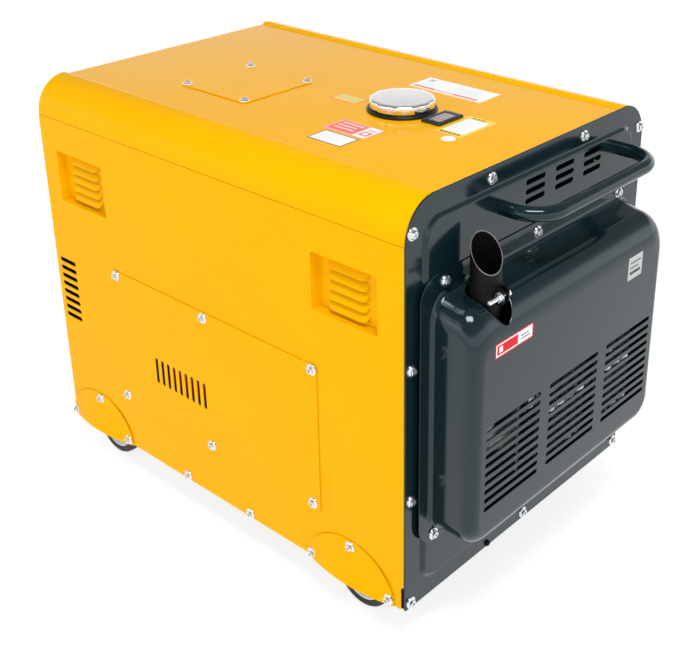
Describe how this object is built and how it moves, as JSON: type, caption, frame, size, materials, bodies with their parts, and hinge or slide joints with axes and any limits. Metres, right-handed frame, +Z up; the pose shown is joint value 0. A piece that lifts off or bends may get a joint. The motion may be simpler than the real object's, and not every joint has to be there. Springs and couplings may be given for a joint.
{
  "type": "portable generator",
  "caption": "Enclosed portable generator on castors, with louvred sides, a bowed exhaust cover with a slash-cut pipe, end handles and a filler cap on top.",
  "frame": {"origin": "on the ground under the middle of the overall box", "axes": "+X along the length towards the exhaust end, -Y towards the side with the screwed access panel, +Z up"},
  "size_m": [0.95, 0.5836, 0.7016],
  "materials": {
    "yellow_paint": "glossy powder coat",
    "slate_paint": "glossy dark blue-grey enamel",
    "black_paint": "satin black",
    "chrome": "polished",
    "zinc": "bright zinc plate",
    "steel": "bare steel",
    "foil": "crinkled foil",
    "cast_iron": "rough cast",
    "aluminium": "die cast",
    "rubber": "matt",
    "tyre": "solid black tyre on a grey hub",
    "plastic": "fine texture",
    "red_plastic": "gloss"
  },
  "bodies": {
    "housing": {"side_panel_service": "yellow_paint", "side_panel_door": "yellow_paint", "access_panel": "yellow_paint", "roof_cover": "yellow_paint", "roof_hatch": "yellow_paint", "arch_cover_exhaust_service": "yellow_paint", "arch_cover_exhaust_door": "yellow_paint", "arch_cover_control_service": "yellow_paint", "arch_cover_control_door": "yellow_paint", "louvre_tray_exhaust_service": "yellow_paint", "louvre_tray_exhaust_door": "yellow_paint", "louvre_tray_control_service": "yellow_paint", "louvre_tray_control_door": "yellow_paint", "exhaust_end_panel": "slate_paint", "control_end_panel": "slate_paint", "muffler_cover": "slate_paint", "handle_exhaust_end": "slate_paint", "handle_control_end": "slate_paint", "base_pan": "black_paint", "tail_pipe": "black_paint", "fuel_tank": "black_paint", "air_cleaner": "black_paint", "clamp_bolt": "zinc", "door_hinge": "zinc", "castor_bracket_exhaust_service": "zinc", "castor_bracket_exhaust_door": "zinc", "muffler": "steel", "heat_shield": "foil", "crankcase": "cast_iron", "cylinder_head": "aluminium", "alternator": "aluminium", "filler_gasket": "rubber", "rubber_mount_1": "rubber", "rubber_mount_2": "rubber", "rubber_mount_3": "rubber", "rubber_mount_4": "rubber", "fuel_gauge": "plastic", "battery": "plastic", "control_panel": "plastic"},
    "crank_train": {"crankshaft": "steel", "flywheel_fan": "aluminium", "rotor": "steel"},
    "fuel_cap": {"fuel_cap": "chrome"},
    "fuel_float": {"fuel_float": "plastic"},
    "service_door": {"service_door": "yellow_paint"},
    "door_latch": {"door_latch": "plastic"},
    "breaker_lever": {"breaker_lever": "plastic"},
    "key_switch": {"key_switch": "zinc"},
    "stop_button": {"stop_button": "red_plastic"},
    "socket_lid_1": {"socket_lid_1": "plastic"},
    "socket_lid_2": {"socket_lid_2": "plastic"},
    "fork_service": {"castor_fork_control_service": "zinc"},
    "fork_door": {"castor_fork_control_door": "zinc"},
    "wheel_exhaust_service": {"wheel_exhaust_service": "tyre"},
    "wheel_exhaust_door": {"wheel_exhaust_door": "tyre"},
    "wheel_control_service": {"wheel_control_service": "tyre"},
    "wheel_control_door": {"wheel_control_door": "tyre"},
    "pedal_service": {"brake_pedal_control_service": "zinc"},
    "pedal_door": {"brake_pedal_control_door": "zinc"}
  },
  "joints": [
    {"name": "wheel_exhaust_service_spin", "type": "hinge", "parent": "housing", "child": "wheel_exhaust_service", "pos_m": [0.29, -0.244, 0.05], "axis": [0, 1, 0], "continuous": true},
    {"name": "fork_service_swivel", "type": "hinge", "parent": "housing", "child": "fork_service", "pos_m": [-0.289, -0.244, 0.115], "axis": [0, 0, 1], "range_deg": [-15, 15]},
    {"name": "wheel_control_service_spin", "type": "hinge", "parent": "fork_service", "child": "wheel_control_service", "pos_m": [-0.311, -0.244, 0.05], "axis": [0, 1, 0], "continuous": true},
    {"name": "pedal_service_press", "type": "hinge", "parent": "fork_service", "child": "pedal_service", "pos_m": [-0.311, -0.244, 0.05], "axis": [0, -1, 0], "range_deg": [0, 15]},
    {"name": "wheel_exhaust_door_spin", "type": "hinge", "parent": "housing", "child": "wheel_exhaust_door", "pos_m": [0.29, 0.244, 0.05], "axis": [0, 1, 0], "continuous": true},
    {"name": "fork_door_swivel", "type": "hinge", "parent": "housing", "child": "fork_door", "pos_m": [-0.289, 0.244, 0.115], "axis": [0, 0, 1], "range_deg": [-15, 15]},
    {"name": "wheel_control_door_spin", "type": "hinge", "parent": "fork_door", "child": "wheel_control_door", "pos_m": [-0.311, 0.244, 0.05], "axis": [0, 1, 0], "continuous": true},
    {"name": "pedal_door_press", "type": "hinge", "parent": "fork_door", "child": "pedal_door", "pos_m": [-0.311, 0.244, 0.05], "axis": [0, -1, 0], "range_deg": [0, 15]},
    {"name": "crank_turn", "type": "hinge", "parent": "housing", "child": "crank_train", "pos_m": [0, 0, 0.3], "axis": [1, 0, 0], "continuous": true},
    {"name": "fuel_cap_turn", "type": "hinge", "parent": "housing", "child": "fuel_cap", "pos_m": [0.145, 0.002, 0.69], "axis": [0, 0, 1], "range_deg": [0, 90]},
    {"name": "fuel_float_lift", "type": "hinge", "parent": "housing", "child": "fuel_float", "pos_m": [0.219, 0.03, 0.648], "axis": [1, 0, 0], "range_deg": [0, 18]},
    {"name": "service_door_swing", "type": "hinge", "parent": "housing", "child": "service_door", "pos_m": [-0.186, 0.284, 0.33], "axis": [0, 0, 1], "range_deg": [0, 110]},
    {"name": "door_latch_turn", "type": "hinge", "parent": "service_door", "child": "door_latch", "pos_m": [0.148, 0.278, 0.33], "axis": [0, -1, 0], "range_deg": [0, 90]},
    {"name": "breaker_toggle", "type": "hinge", "parent": "housing", "child": "breaker_lever", "pos_m": [-0.4113, 0.06, 0.445], "axis": [0, 1, 0], "range_deg": [0, 50]},
    {"name": "key_turn", "type": "hinge", "parent": "housing", "child": "key_switch", "pos_m": [-0.4086, 0.11, 0.54], "axis": [1, 0, 0], "range_deg": [0, 75]},
    {"name": "stop_button_push", "type": "slide", "parent": "housing", "child": "stop_button", "axis": [1, 0, 0], "range_m": [0, 0.004], "stiffness_N_per_m": 600},
    {"name": "socket_lid_1_lift", "type": "hinge", "parent": "housing", "child": "socket_lid_1", "pos_m": [-0.4126, -0.105, 0.472], "axis": [0, 1, 0], "range_deg": [0, 100], "stiffness_Nm_per_rad": 0.03},
    {"name": "socket_lid_2_lift", "type": "hinge", "parent": "housing", "child": "socket_lid_2", "pos_m": [-0.4126, -0.03, 0.472], "axis": [0, 1, 0], "range_deg": [0, 100], "stiffness_Nm_per_rad": 0.03}
  ]
}
